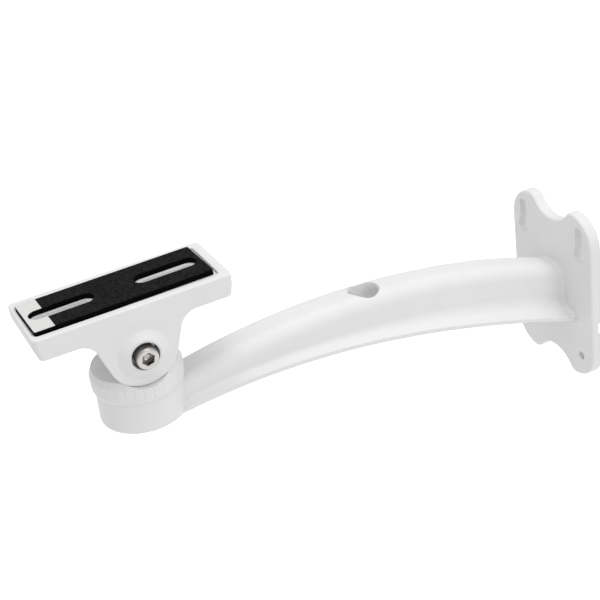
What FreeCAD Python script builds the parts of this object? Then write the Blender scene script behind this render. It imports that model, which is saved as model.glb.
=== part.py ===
import FreeCAD, Part
import math
import os
import re
import Sketcher

# Wall bracket for a camera: a hollow curved arm on a wall plate, a swivel base that pans on
# the arm's end cup, and a camera head that tilts on the swivel base's lug.
# Millimetres. The wall is the plane Y = 0, the arm runs along -Y, and Z is up. X = 0 is the
# bracket's middle plane. Z = 0 is the middle of the four wall-screw positions.

os.makedirs("parts", exist_ok=True)
doc = FreeCAD.newDocument("camera_bracket")
sheet = doc.addObject("Spreadsheet::Sheet", "Sizes")

# The driving sizes. Everything else follows from them.
sizes = {
    # Wall plate
    "plate_wide": 83.0,
    "plate_high": 116.6,
    "plate_thick": 7.3,
    "plate_middle_z": -3.1,
    "plate_edge_round": 1.5,
    "lobe_outer": 20.0,
    "lobe_inner": 6.0,
    "dip_above_lobes": 10.1,
    "screws_across": 58.88,
    "screws_up": 89.88,
    "keyhole_drop": 15.74,
    "keyhole_slot": 3.2,
    "keyhole_head": 5.2,
    "round_hole": 2.75,
    "groove_top": -17.0,
    "groove_low": -26.0,
    "groove_deep": 2.5,
    "passage_low": -19.0,
    "passage_round": 4.0,
    # Arm: control heights of its crest and its foot, from the wall to the cup
    "reach": 292.15,
    "crest_1": 10.8,
    "crest_2": 41.2,
    "crest_3": 47.7,
    "crest_4": 49.5,
    "crest_under_cup_top": 7.95,
    "foot_1": -23.6,
    "foot_2": 12.3,
    "foot_3": 32.9,
    "foot_under_cup": 1.95,
    # Arm: how high its flared feet rise and how gently they bend into its sides
    "flare_1": 8.4,
    "flare_2": 7.8,
    "flare_3": 1.4,
    "flare_4": 3.8,
    "bend_1": 9.0,
    "bend_2": 8.0,
    "bend_3": -0.8,
    "bend_4": 2.8,
    "side_wall": 11.8,
    "side_cup": 13.2,
    "side_lean": 0.5,
    "foot_half_wall": 25.0,
    "foot_half_cup": 20.5,
    "foot_lip": 2.4,
    "crest_round": 8.5,
    "arm_skin": 3.2,
    "arm_root_round": 1.8,
    "loft_start": 4.0,
    "loft_short": 8.15,
    # Cable hole through the crest
    "hole_centre": 144.7,
    "hole_round": 9.5,
    "hole_point": 10.8,
    "hole_edge": 0.6,
    # End cup
    "cup_top": 36.05,
    "cup_high": 18.5,
    "cup_top_r": 25.4,
    "cup_low_r": 26.3,
    "cup_bottom_slope": 0.045,
    "cup_low_round": 2.5,
    "cup_top_round": 0.6,
    "cup_bore": 22.0,
    "cup_floor_thick": 5.05,
    # Screws, nut and washers: M8 throughout
    "shank": 4.0,
    "running_gap": 0.05,
    "seat_gap": 0.03,
    "washer_bore": 4.2,
    "cap_r": 6.5,
    "cap_high": 8.0,
    "cap_edge": 0.6,
    "key_flats": 6.0,
    "key_deep": 4.0,
    "flat_washer_r": 8.0,
    "flat_washer_thick": 1.6,
    "spring_washer_r": 6.4,
    "spring_washer_thick": 2.1,
    "spring_washer_split": 1.4,
    "nut_flats": 13.0,
    "nut_thick": 6.5,
    "nut_pocket_gap": 0.3,
    "pan_screw_long": 20.0,
    "tilt_screw_long": 55.0,
    "tip_chamfer": 0.8,
    # Swivel base
    "disc_r": 26.9,
    "disc_low_r": 25.9,
    "disc_low_edge": 3.4,
    "disc_shoulder": 10.6,
    "disc_top_r": 25.0,
    "disc_top": 14.83,
    "flute_count": 30,
    "flute_round": 2.0,
    "flute_deep": 0.35,
    "pivot_up": 30.5,
    "lug_half": 15.6,
    "lug_round": 14.5,
    "lug_foot_round": 2.0,
    "saddle_gap": 0.3,
    "tapped_deep": 13.0,
    # Camera head, with heights measured from the tilt axis
    "ear_gap": 0.1,
    "rim_half": 25.76,
    "ear_half": 23.66,
    "ear_round": 20.5,
    "ear_lean": 17.8,
    "ear_fillet": 11.0,
    "deck_low": 15.87,
    "rim_top": 29.25,
    "recess_floor": 27.92,
    "deck_thick": 4.0,
    "skirt_thick": 3.5,
    "head_back": 57.8,
    "head_front": 56.6,
    "head_tuck": 2.0,
    "head_tuck_back": 1.6,
    "head_tuck_z": 22.5,
    "head_tuck_round": 12.0,
    "head_corner": 3.5,
    "outline_round": 0.8,
    "recess_round": 0.5,
    "ear_inner_round": 0.5,
    "recess_half": 20.9,
    "recess_back": 52.1,
    "recess_front": 54.2,
    "recess_corner": 3.0,
    "boss_base": 15.0,
    "boss_mouth": 9.6,
    "boss_out": 28.38,
    "boss_root_round": 1.2,
    "boss_lip_round": 0.8,
    "counterbore": 8.19,
    "counterbore_floor": 20.8,
    "nut_floor": 21.0,
    "ear_bore": 4.3,
    "slot_near": 28.5,
    "slot_far": 33.05,
    "slot_run": 24.75,
    "slot_half": 3.5,
    # Rubber pad and its pale liner
    "pad_back": 49.87,
    "pad_front": 53.65,
    "pad_half": 18.33,
    "pad_thick": 3.31,
    "pad_corner": 2.5,
    "pad_slot_half": 5.3,
    "liner_stop": 42.0,
    "liner_thick": 0.2,
}

# Sizes worked out from the driving ones, so that neighbours keep fitting when one changes.
derived = {
    "plate_half": "plate_wide / 2",
    "lobe_top": "plate_middle_z + plate_high / 2",
    "lobe_x": "plate_half - lobe_outer",
    "dip_centre": "lobe_top + dip_above_lobes",
    "screw_x": "screws_across / 2",
    "screw_z": "screws_up / 2",
    "cup_bottom": "cup_top - cup_high",
    "cup_low": "cup_bottom - cup_bottom_slope * cup_low_r",
    "cup_floor": "cup_top - cup_floor_thick",
    "crest_5": "cup_top - crest_under_cup_top",
    "foot_4": "cup_bottom - foot_under_cup",
    "loft_stop": "reach - loft_short",
    "hole_tip": "hole_centre + hole_point",
    "pivot_z": "cup_top + pivot_up",
    "saddle_r": "ear_round + saddle_gap",
    "ear_inner": "lug_half + ear_gap",
    "side_slope": "(rim_half - ear_half) / (rim_top + ear_round)",
    "boss_face": "ear_half + side_slope * ear_round",
    "boss_slope": "(boss_base - boss_mouth) / (boss_out - boss_face)",
    "lug_bore": "shank + running_gap",
    "seat_bore": "shank + seat_gap",
    "tilt_seat": "counterbore_floor + flat_washer_thick",
    "tilt_head": "tilt_seat + spring_washer_thick",
    "pan_seat": "cup_floor - flat_washer_thick",
    "pan_head": "pan_seat - spring_washer_thick",
}
rows = iter(range(1, 400))
UP, DOWN = 90, 270  # degrees


def enter(name, content):
    """Write one named cell: a plain number, or a formula that begins with an equals sign."""
    row = next(rows)
    sheet.set("A%d" % row, name)
    sheet.set("B%d" % row, content)
    sheet.setAlias("B%d" % row, name)


for name, number in sizes.items():
    enter(name, str(number))
for name, formula in derived.items():
    enter(name, "=" + formula)


def blend(name, count, part):
    """The expression for a smooth change through `count` control sizes, at 0 wall ... 1 cup."""
    order = count - 1
    terms = []
    for k in range(count):
        share = math.comb(order, k) * part ** k * (1 - part) ** (order - k)
        terms.append("%.6f * %s_%d" % (share, name, k + 1))
    return " + ".join(terms)


# The arm's cross-sections, wall to cup. Each one's place and sizes become sheet cells.
station_count = 8
for n in range(station_count):
    share = n / (station_count - 1)
    enter("station_%d" % n, "=loft_start + (loft_stop - loft_start) * %.6f" % share)
doc.recompute()
for n in range(station_count):
    part = float(sheet.get("station_%d" % n)) / float(sheet.reach)
    enter("crest_at_%d" % n, "=" + blend("crest", 5, part))
    for name in ("foot", "flare", "bend"):
        enter("%s_at_%d" % (name, n), "=" + blend(name, 4, part))
    enter("side_at_%d" % n, "=side_wall + (side_cup - side_wall) * %.6f" % min(1, 2 * part))
    enter("half_at_%d" % n, "=foot_half_wall + (foot_half_cup - foot_half_wall) * %.6f" % part)
doc.recompute()


def ref(text):
    """Turn bare size names in an expression into references to the sheet."""
    return re.sub(r"\b([a-z][a-z0-9_]*)\b(?!\()", r"Sizes.\1", str(text))


def value(text):
    """The present number behind an expression."""
    result = sheet.evalExpression(ref(text))
    return float(getattr(result, "Value", result))


def new_body(name, x="0", y="0", z="0"):
    """A body whose origin sits at a point given by expressions."""
    body = doc.addObject("PartDesign::Body", name)
    body.Label = name
    for axis, text in zip("xyz", (x, y, z)):
        if text != "0":
            body.setExpression("Placement.Base." + axis, ref(text))
    return body


def origin(body, role):
    """One of the body's own origin planes or axes."""
    return [f for f in body.Origin.OriginFeatures if f.Role == role][0]


class Sketch:
    """A sketch on one of the body's origin planes, moved along its normal."""

    def __init__(self, body, name, plane, shift="0"):
        self.body = body
        self.obj = body.newObject("Sketcher::SketchObject", name)
        self.obj.AttachmentSupport = [(origin(body, plane), "")]
        self.obj.MapMode = "FlatFace"
        if shift != "0":
            self.obj.setExpression("AttachmentOffset.Base.z", ref(shift))

    def bind(self, kind, where, text):
        """Add one constraint whose size comes from an expression."""
        number = self.obj.addConstraint(Sketcher.Constraint(kind, *where, value(text)))
        self.obj.setExpression("Constraints[%d]" % number, ref(text))

    def place(self, item, end, x, y):
        """Hold a point of an item at a position from the sketch's origin."""
        self.bind("DistanceX", (-1, 1, item, end), x)
        self.bind("DistanceY", (-1, 1, item, end), y)

    def circle(self, x, y, radius):
        """A full circle."""
        middle = FreeCAD.Vector(value(x), value(y), 0)
        item = self.obj.addGeometry(Part.Circle(middle, FreeCAD.Vector(0, 0, 1), value(radius)))
        self.place(item, 3, x, y)
        self.bind("Radius", (item,), radius)
        return self

    def slot(self, x, low, high, half):
        """A slot along the sketch's second axis, given by the middles of its round ends."""
        top, bottom, radius, across = value(high), value(low), value(half), value(x)
        up = FreeCAD.Vector(0, 0, 1)
        cap = Part.Circle(FreeCAD.Vector(across, top, 0), up, radius)
        cup_end = Part.Circle(FreeCAD.Vector(across, bottom, 0), up, radius)
        first = self.obj.addGeometry(Part.ArcOfCircle(cap, 0, math.pi))
        second = self.obj.addGeometry(Part.ArcOfCircle(cup_end, math.pi, 2 * math.pi))
        a, b, c, d = [FreeCAD.Vector(across + e * radius, f, 0) for f in (top, bottom) for e in (-1, 1)]
        left = self.obj.addGeometry(Part.LineSegment(a, c))
        right = self.obj.addGeometry(Part.LineSegment(d, b))
        self.place(first, 3, x, high)
        self.place(second, 3, x, low)
        self.join("Tangent", first, 2, left, 1)
        self.join("Tangent", left, 2, second, 1)
        self.join("Tangent", second, 2, right, 1)
        self.join("Coincident", right, 2, first, 1)
        self.bind("Radius", (first,), half)
        return self

    def outline(self, corners):
        """A closed outline from corners (x, y) or, where it is rounded, (x, y, radius)."""
        spots = [FreeCAD.Vector(value(c[0]), value(c[1]), 0) for c in corners]
        count = len(corners)
        starts = []
        ends = []
        arcs = []
        for n, spot in enumerate(spots):
            before = (spots[n - 1] - spot).normalize()
            after = (spots[(n + 1) % count] - spot).normalize()
            if len(corners[n]) == 2:
                ends.append(spot)
                starts.append(spot)
                arcs.append(None)
                continue
            radius = value(corners[n][2])
            half = before.getAngle(after) / 2
            reach = radius / math.tan(half)
            ends.append(spot + before * reach)
            starts.append(spot + after * reach)
            middle = spot + (before + after).normalize() * (radius / math.sin(half))
            through = middle + (spot - middle).normalize() * radius
            arcs.append(Part.Arc(ends[n], through, starts[n]))
        marks = []
        for corner, spot in zip(corners, spots):
            mark = self.obj.addGeometry(Part.Point(spot), True)
            self.place(mark, 1, corner[0], corner[1])
            marks.append(mark)
        lines = []
        for n in range(count):
            segment = Part.LineSegment(starts[n], ends[(n + 1) % count])
            lines.append(self.obj.addGeometry(segment))
        for n in range(count):
            into, out = lines[n - 1], lines[n]
            if arcs[n] is None:
                self.join("Coincident", into, 2, marks[n], 1)
                self.join("Coincident", out, 1, marks[n], 1)
                continue
            self.join("PointOnObject", marks[n], 1, into)
            self.join("PointOnObject", marks[n], 1, out)
            item = self.obj.addGeometry(arcs[n])
            # An arc always runs anticlockwise, so find which of its ends meets each line.
            first = self.obj.getPoint(item, 1)
            forward = first.distanceToPoint(ends[n]) < first.distanceToPoint(starts[n])
            a, b = (1, 2) if forward else (2, 1)
            self.join("Tangent", into, 2, item, a)
            self.join("Tangent", item, b, out, 1)
            self.bind("Radius", (item,), corners[n][2])
        return self

    def join(self, kind, *where):
        """Add one constraint that has no size."""
        self.obj.addConstraint(Sketcher.Constraint(kind, *where))


def box(x0, x1, y0, y1, radius=None):
    """The corners of a rectangle, rounded or square."""
    corners = [(x0, y0), (x1, y0), (x1, y1), (x0, y1)]
    return [c + (radius,) if radius else c for c in corners]


def apply(body, kind, name, sketch, grows, **settings):
    """Add a feature made from a sketch and make sure it grew or cut the body."""
    before = body.Shape.Volume if body.Tip and body.Tip.TypeId != "Sketcher::SketchObject" else 0
    feature = body.newObject("PartDesign::" + kind, name)
    feature.Profile = sketch.obj if isinstance(sketch, Sketch) else sketch
    for key, setting in settings.items():
        if isinstance(setting, str) and key in ("Length", "Length2", "Angle"):
            feature.setExpression(key, ref(setting))
        else:
            setattr(feature, key, setting)
    doc.recompute()
    check(body, feature, before, grows)
    return feature


def check(body, feature, before, grows):
    """Stop at the first feature that failed or changed nothing."""
    change = body.Shape.Volume - before
    state = feature.State
    good = "Invalid" not in state and "Error" not in state and body.Shape.isValid()
    if not good or (change <= 0.01 if grows else change >= -0.01):
        raise RuntimeError("%s in %s: state %s, change %.3f" % (feature.Name, body.Name, state, change))


def pad(body, name, sketch, length, **settings):
    return apply(body, "Pad", name, sketch, True, Length=length, **settings)


def pocket(body, name, sketch, length="100", **settings):
    return apply(body, "Pocket", name, sketch, False, Length=length, **settings)


def turn(body, name, sketch, axis, **settings):
    return apply(body, "Revolution", name, sketch, True, ReferenceAxis=axis, Angle=360, **settings)


def edges_where(shape, test):
    """The names of the edges whose middle point and ends satisfy a test."""
    names = []
    for n, edge in enumerate(shape.Edges):
        low, high = edge.ParameterRange
        points = [edge.valueAt(low + (high - low) * k / 4) for k in range(5)]
        if all(test(p) for p in points):
            names.append("Edge%d" % (n + 1))
    return names


def soften(body, kind, name, amount, test):
    """Round or chamfer the edges of the body that satisfy a test."""
    before = body.Shape.Volume
    base = body.Tip
    names = edges_where(base.Shape, test)
    if not names:
        raise RuntimeError("no edges for " + name)
    feature = body.newObject("PartDesign::" + kind, name)
    feature.Base = (base, names)
    feature.setExpression("Radius" if kind == "Fillet" else "Size", ref(amount))
    doc.recompute()
    state = feature.State
    bad = "Invalid" in state or "Error" in state or not body.Shape.isValid()
    if bad or abs(body.Shape.Volume - before) < 0.001:
        raise RuntimeError("%s in %s: %s" % (name, body.Name, state))
    return feature


def near(a, b, gap=0.05):
    return abs(a - b) < gap


# The arm casting: wall plate, arm and end cup are one piece.
arm = new_body("arm_casting")

# The plate's outline: two lobes at the top and two at the bottom, with a dip between each pair.
outline = Sketch(arm, "plate_outline", "XZ_Plane")
sk = outline.obj
lobe_z = "(lobe_top - lobe_outer)"
inner_z = "(lobe_top - lobe_inner)"
middle = "plate_middle_z"
arcs = []
for side, up in ((1, 1), (-1, 1), (-1, -1), (1, -1)):
    flip = "" if up == 1 else "2 * %s - " % middle
    sign = "" if side == 1 else "-"
    outer_spot = (sign + "lobe_x", flip + lobe_z)
    inner_spot = (sign + "lobe_x", flip + inner_z)
    toward_dip = math.degrees(math.atan2(value("dip_centre") - value(inner_z), -value("lobe_x")))
    ranges = [(0, 90), (90, toward_dip)]
    if side == -1:
        ranges = [(180 - b, 180 - a) for a, b in ranges]
    if up == -1:
        ranges = [(-b, -a) for a, b in ranges]
    pair = []
    for (x, z), radius, (a, b) in zip((outer_spot, inner_spot), ("lobe_outer", "lobe_inner"), ranges):
        circle = Part.Circle(FreeCAD.Vector(value(x), value(z), 0), FreeCAD.Vector(0, 0, 1), value(radius))
        item = sk.addGeometry(Part.ArcOfCircle(circle, math.radians(a), math.radians(b)))
        outline.place(item, 3, x, z)
        pair.append(item)
    outline.bind("Radius", (pair[0],), "lobe_outer")
    arcs.append((side, up, pair[0], pair[1]))


def meet(first, second, kind="Tangent"):
    """Join the two ends that already lie closest together."""
    best = None
    for a in (1, 2):
        for b in (1, 2):
            gap = sk.getPoint(first, a).distanceToPoint(sk.getPoint(second, b))
            if best is None or gap < best[0]:
                best = (gap, a, b)
    outline.join(kind, first, best[1], second, best[2])


for side, up, outer_arc, inner_arc in arcs:
    meet(outer_arc, inner_arc)
for up in (1, -1):
    right = [a for a in arcs if a[0] == 1 and a[1] == up][0]
    left = [a for a in arcs if a[0] == -1 and a[1] == up][0]
    dip_z = "dip_centre" if up == 1 else "2 * %s - dip_centre" % middle
    gap = math.hypot(value("lobe_x"), value("dip_centre") - value(inner_z))
    centre = FreeCAD.Vector(0, value(dip_z), 0)
    circle = Part.Circle(centre, FreeCAD.Vector(0, 0, 1), gap - value("lobe_inner"))
    half = math.degrees(math.atan2(value("lobe_x"), value("dip_centre") - value(inner_z)))
    facing = DOWN if up == 1 else UP
    dip = sk.addGeometry(Part.ArcOfCircle(circle, math.radians(facing - half), math.radians(facing + half)))
    outline.bind("DistanceY", (-1, 1, dip, 3), dip_z)
    meet(right[3], dip)
    meet(left[3], dip)
for side in (1, -1):
    top = [a for a in arcs if a[0] == side and a[1] == 1][0]
    low = [a for a in arcs if a[0] == side and a[1] == -1][0]
    x = side * (value("lobe_x") + value("lobe_outer"))
    start = FreeCAD.Vector(x, value(lobe_z), 0)
    stop = FreeCAD.Vector(x, 2 * value(middle) - value(lobe_z), 0)
    line = sk.addGeometry(Part.LineSegment(start, stop))
    meet(top[2], line)
    meet(low[2], line, "Coincident")
doc.recompute()
pad(arm, "plate", outline, "plate_thick")
front = -value("plate_thick")
soften(arm, "Fillet", "plate_front_edge", "plate_edge_round", lambda p: near(p.y, front))


# The end cup is turned about the pan axis. It stays apart from the plate until the arm joins them.
arm.AllowCompound = True
cup = Sketch(arm, "cup_profile", "XZ_Plane", "reach")
cup.outline([("0", "cup_low"), ("cup_low_r", "cup_low", "cup_low_round"), ("cup_top_r", "cup_top"), ("0", "cup_top")])
doc.recompute()
turn(arm, "cup", cup, (cup.obj, ["V_Axis"]))
soften(arm, "Fillet", "cup_top_edge", "cup_top_round",
       lambda p: near(p.z, value("cup_top")) and p.y < front - 1)


def arm_section(n, skin=None):
    """The arm's cross-section at one station: the outside, or the channel inside it."""
    crest, foot, side = "crest_at_%d" % n, "foot_at_%d" % n, "side_at_%d" % n
    if skin:
        inner = "%s - arm_skin" % side
        low = "%s - foot_lip" % foot
        top = "%s - arm_skin" % crest
        tight = "crest_round - arm_skin"
        return [("-(%s)" % inner, low), (inner, low), (inner, top, tight), ("-(%s)" % inner, top, tight)]
    half = "half_at_%d" % n
    lean = "%s + side_lean" % side
    bend, flare = "bend_at_%d" % n, "%s + flare_at_%d" % (foot, n)
    right = [(half, foot), (half, "%s + foot_lip" % foot), (lean, flare, bend), (side, crest, "crest_round")]
    left = [("-(%s)" % c[0], c[1]) + tuple(c[2:]) for c in reversed(right)]
    return right + left


def loft(body, kind, name, sections, grows):
    """A smooth solid through a row of sections."""
    before = body.Shape.Volume
    feature = body.newObject("PartDesign::" + kind, name)
    feature.Profile = sections[0].obj
    feature.Sections = [s.obj for s in sections[1:]]
    doc.recompute()
    check(body, feature, before, grows)
    return feature


outside = []
for n in range(station_count):
    section = Sketch(arm, "arm_section_%d" % n, "XZ_Plane", "station_%d" % n)
    outside.append(section.outline(arm_section(n)))
doc.recompute()
loft(arm, "AdditiveLoft", "arm_outside", outside, True)

# The bottom of the cup and of the arm's end is trimmed to one slightly sloping plane.
trim = Sketch(arm, "cup_trim", "YZ_Plane")
near_y, far_y = "-(reach - cup_low_r - 1)", "-(reach + cup_low_r + 1)"
near_z = "cup_bottom + cup_bottom_slope * (cup_low_r + 1)"
far_z = "cup_bottom - cup_bottom_slope * (cup_low_r + 1)"
trim.outline([(far_y, "cup_low - 5"), (near_y, "cup_low - 5"), (near_y, near_z), (far_y, far_z)])
doc.recompute()
pocket(arm, "cup_bottom_trim", trim, "4 * cup_low_r", Midplane=True)

# Rounding where the arm meets the plate.
low_z = value("foot_at_0 + foot_lip") - 0.3
inside_x = value("half_at_0") + 0.3
soften(arm, "Fillet", "arm_root", "arm_root_round",
       lambda p: near(p.y, front) and abs(p.x) < inside_x and low_z < p.z < value("crest_1") + 5)

# The cup is hollow from below up to the floor that the pan screw passes through.
hollow = Sketch(arm, "cup_hollow_outline", "XY_Plane", "cup_floor")
hollow.circle("0", "-reach", "cup_bore")
doc.recompute()
pocket(arm, "cup_hollow", hollow, "cup_high")
channel = []
for n in range(station_count):
    section = Sketch(arm, "channel_section_%d" % n, "XZ_Plane", "station_%d" % n)
    channel.append(section.outline(arm_section(n, skin=True)))
doc.recompute()
loft(arm, "SubtractiveLoft", "cable_channel", channel, False)
bore = Sketch(arm, "pan_bore_outline", "XY_Plane", "cup_top")
bore.circle("0", "-reach", "lug_bore")
doc.recompute()
pocket(arm, "pan_bore", bore)

# The cable passage through the plate, and a groove in its back that leads to it from one side.
passage = Sketch(arm, "passage_outline", "XZ_Plane")
wide = "side_at_0 - arm_skin"
passage.outline(box("-(%s)" % wide, wide, "passage_low", "crest_at_0 - arm_skin", "passage_round"))
doc.recompute()
pocket(arm, "passage", passage, "plate_thick + 1", Reversed=True)
groove = Sketch(arm, "groove_outline", "XZ_Plane")
groove.outline(box("0", "plate_half + 1", "groove_low", "groove_top"))
doc.recompute()
pocket(arm, "cable_groove", groove, "groove_deep", Reversed=True)

# Keyholes above and plain holes below, at the four wall-screw positions.
drop = "screw_z - keyhole_drop"
screws = Sketch(arm, "screw_slots", "XZ_Plane")
heads = Sketch(arm, "screw_heads", "XZ_Plane")
for x in ("screw_x", "-screw_x"):
    screws.slot(x, drop, "screw_z", "keyhole_slot")
    screws.circle(x, "-screw_z", "round_hole")
    heads.circle(x, drop, "keyhole_head")
doc.recompute()
pocket(arm, "screw_openings", screws, Midplane=True)
pocket(arm, "keyhole_heads", heads, Midplane=True)

# The hole in the crest that the camera's cable comes out of: round, with a point outwards.
tear = Sketch(arm, "crest_hole_outline", "XY_Plane", "reach / 4")
half = math.degrees(math.acos(value("hole_round / hole_point")))
centre = FreeCAD.Vector(0, -value("hole_centre"), 0)
circle = Part.Circle(centre, FreeCAD.Vector(0, 0, 1), value("hole_round"))
arc = Part.ArcOfCircle(circle, math.radians(half - UP), math.radians(DOWN - half))
curve = tear.obj.addGeometry(arc)
tip = FreeCAD.Vector(0, -value("hole_tip"), 0)
right = tear.obj.addGeometry(Part.LineSegment(tip, arc.StartPoint))
left = tear.obj.addGeometry(Part.LineSegment(arc.EndPoint, tip))
tear.place(curve, 3, "0", "-hole_centre")
tear.bind("Radius", (curve,), "hole_round")
tear.place(right, 1, "0", "-hole_tip")
tear.join("Tangent", right, 2, curve, 1)
tear.join("Tangent", curve, 2, left, 1)
tear.join("Coincident", left, 2, right, 1)
doc.recompute()
pocket(arm, "crest_hole", tear)


def on_hole(p):
    """On the crest hole's outer edge."""
    away = math.hypot(p.x, p.y + value("hole_centre"))
    crest = value(blend("crest", 5, -p.y / value("reach")))
    on_wall = value("hole_round") - 0.05 < away < value("hole_point") + 0.05
    return on_wall and crest - 0.8 * value("arm_skin") < p.z < crest + 1


soften(arm, "Fillet", "crest_hole_edge", "hole_edge", on_hole)


# The swivel base: a fluted disc that turns on the cup, with the tilt lug standing on it.
swivel = new_body("swivel_base", "0", "-reach", "cup_top")
pivot = "pivot_z - cup_top"
disc = Sketch(swivel, "disc_profile", "XZ_Plane")
disc.outline([("0", "0"), ("disc_low_r", "0"), ("disc_r", "disc_low_edge"), ("disc_r", "disc_shoulder"),
              ("disc_top_r", "disc_top"), ("0", "disc_top")])
doc.recompute()
turn(swivel, "disc", disc, (disc.obj, ["V_Axis"]))
flute_outline = Sketch(swivel, "flute_outline", "XY_Plane")
flute_outline.circle("disc_r + flute_round - flute_deep", "0", "flute_round")
doc.recompute()
flute = pocket(swivel, "flute", flute_outline, "disc_top", Reversed=True)
ring = swivel.newObject("PartDesign::PolarPattern", "flutes")
ring.Originals = [flute]
ring.Axis = (origin(swivel, "Z_Axis"), [""])
ring.Angle = 360
ring.setExpression("Occurrences", ref("flute_count"))
swivel.Tip = ring
doc.recompute()
check(swivel, ring, flute.Shape.Volume, False)

post = Sketch(swivel, "lug_post_outline", "YZ_Plane")
post.outline(box("-lug_round", "lug_round", "disc_top - 3", pivot))
knuckle = Sketch(swivel, "lug_knuckle_outline", "YZ_Plane")
knuckle.circle("0", pivot, "lug_round")
doc.recompute()
pad(swivel, "lug_post", post, "2 * lug_half", Midplane=True)
pad(swivel, "lug_knuckle", knuckle, "2 * lug_half", Midplane=True)
top_z = value("disc_top")
post_y = value("lug_round")
soften(swivel, "Fillet", "lug_foot", "lug_foot_round",
       lambda p: near(p.z, top_z) and near(abs(p.y), post_y) and abs(p.x) < value("lug_half") + 0.1)
for name, shift, backwards in (("saddle_right", "lug_half", True), ("saddle_left", "-lug_half", False)):
    saddle = Sketch(swivel, name + "_outline", "YZ_Plane", shift)
    saddle.circle("0", pivot, "saddle_r")
    doc.recompute()
    pocket(swivel, name, saddle, "disc_r", Reversed=backwards)
tilt_bore = Sketch(swivel, "tilt_bore_outline", "YZ_Plane")
tilt_bore.circle("0", pivot, "lug_bore")
tapped = Sketch(swivel, "tapped_outline", "XY_Plane")
tapped.circle("0", "0", "seat_bore")
doc.recompute()
pocket(swivel, "tilt_bore", tilt_bore, Midplane=True)
pocket(swivel, "tapped_hole", tapped, "tapped_deep", Reversed=True)

# The camera head: a long tray with a hollow underside, on two ears that hold the lug.
head = new_body("camera_head", "0", "-reach", "pivot_z")
side_view = Sketch(head, "tray_outline", "YZ_Plane")
side_view.outline([("-(head_front - head_tuck)", "deck_low"), ("head_back - head_tuck_back", "deck_low"),
                   ("head_back", "head_tuck_z", "head_tuck_round"), ("head_back", "rim_top"),
                   ("-head_front", "rim_top"), ("-head_front", "head_tuck_z", "head_tuck_round")])
doc.recompute()
pad(head, "tray", side_view, "2 * rim_half", Midplane=True)
recess = Sketch(head, "recess_outline", "XY_Plane", "rim_top")
recess.outline(box("-recess_half", "recess_half", "-recess_front", "recess_back", "recess_corner"))
under = Sketch(head, "underside_outline", "XY_Plane", "deck_low")
inner_x = "rim_half - skirt_thick"
under.outline(box("-(%s)" % inner_x, inner_x, "-(head_front - head_tuck - skirt_thick)",
                  "head_back - head_tuck_back - skirt_thick", "recess_corner"))
doc.recompute()
pocket(head, "recess", recess, "rim_top - recess_floor")
pocket(head, "underside", under, "recess_floor - deck_thick - deck_low", Reversed=True)

ears = Sketch(head, "ears_outline", "YZ_Plane")
shoulder = "(ear_round + deck_low * sin(ear_lean)) / cos(ear_lean)"
edge = "%s + ear_fillet" % shoulder
ear_top = "recess_floor - deck_thick + 1"
ears.outline([("0", "-ear_round / sin(ear_lean)", "ear_round"), (shoulder, "deck_low", "ear_fillet"),
              (edge, "deck_low"), (edge, ear_top), ("-(%s)" % edge, ear_top), ("-(%s)" % edge, "deck_low"),
              ("-(%s)" % shoulder, "deck_low", "ear_fillet")])
between = Sketch(head, "between_ears_outline", "YZ_Plane")
between.outline(box("-(%s) - 1" % edge, "%s + 1" % edge, "-ear_round - 1", "recess_floor - deck_thick"))
doc.recompute()
pad(head, "ears", ears, "2 * rim_half", Midplane=True)
pocket(head, "between_ears", between, "2 * ear_inner", Midplane=True)

# The head's sides lean outwards all the way from the ears' lowest points to the rim.
for sign, name in (("", "side_right"), ("-", "side_left")):
    lean = Sketch(head, name + "_outline", "XZ_Plane")
    lean.outline([(sign + "(rim_half + side_slope)", "rim_top + 1"),
                  (sign + "(ear_half - side_slope)", "-ear_round - 1"),
                  (sign + "(rim_half + 2)", "-ear_round - 1"), (sign + "(rim_half + 2)", "rim_top + 1")])
    doc.recompute()
    pocket(head, name, lean, "4 * head_back", Midplane=True)


def on_side(p):
    """On one of the head's two leaning sides."""
    return near(abs(p.x), value("ear_half") + value("side_slope") * (p.z + value("ear_round")))


def around(p):
    """Distance from the tilt axis."""
    return math.hypot(p.y, p.z)


tray_ends = value("head_front - head_tuck"), value("head_back - head_tuck_back")
soften(head, "Fillet", "tray_corners", "head_corner",
       lambda p: on_side(p) and (p.y < 1 - tray_ends[0] or p.y > tray_ends[1] - 1))

for sign, name in (("", "boss_right"), ("-", "boss_left")):
    boss = Sketch(head, name + "_profile", "XY_Plane")
    root = sign + "(boss_face - 1)"
    boss.outline([(root, "0"), (root, "boss_base + boss_slope"), (sign + "boss_out", "boss_mouth"),
                  (sign + "boss_out", "0")])
    doc.recompute()
    turn(head, name, boss, (boss.obj, ["H_Axis"]))

soften(head, "Fillet", "boss_roots", "boss_root_round",
       lambda p: on_side(p) and near(around(p), value("boss_base"), 1.5))
soften(head, "Fillet", "boss_lips", "boss_lip_round",
       lambda p: near(abs(p.x), value("boss_out")) and near(around(p), value("boss_mouth")))

sunk = Sketch(head, "counterbore_outline", "YZ_Plane", "counterbore_floor")
sunk.circle("0", "0", "counterbore")
through = Sketch(head, "ear_bore_outline", "YZ_Plane")
through.circle("0", "0", "ear_bore")


def hexagon(sketch, flats, turned=False):
    """A hexagon with two of its corners on the sketch's second axis, or on the first if turned."""
    across = "(%s) / 2" % flats
    low, high = "(%s) / sqrt(12)" % flats, "(%s) / sqrt(3)" % flats
    corners = [(across, "-" + low), (across, low), ("0", high), ("-" + across, low),
               ("-" + across, "-" + low), ("0", "-" + high)]
    sketch.outline([(b, a) for a, b in corners] if turned else corners)


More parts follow.
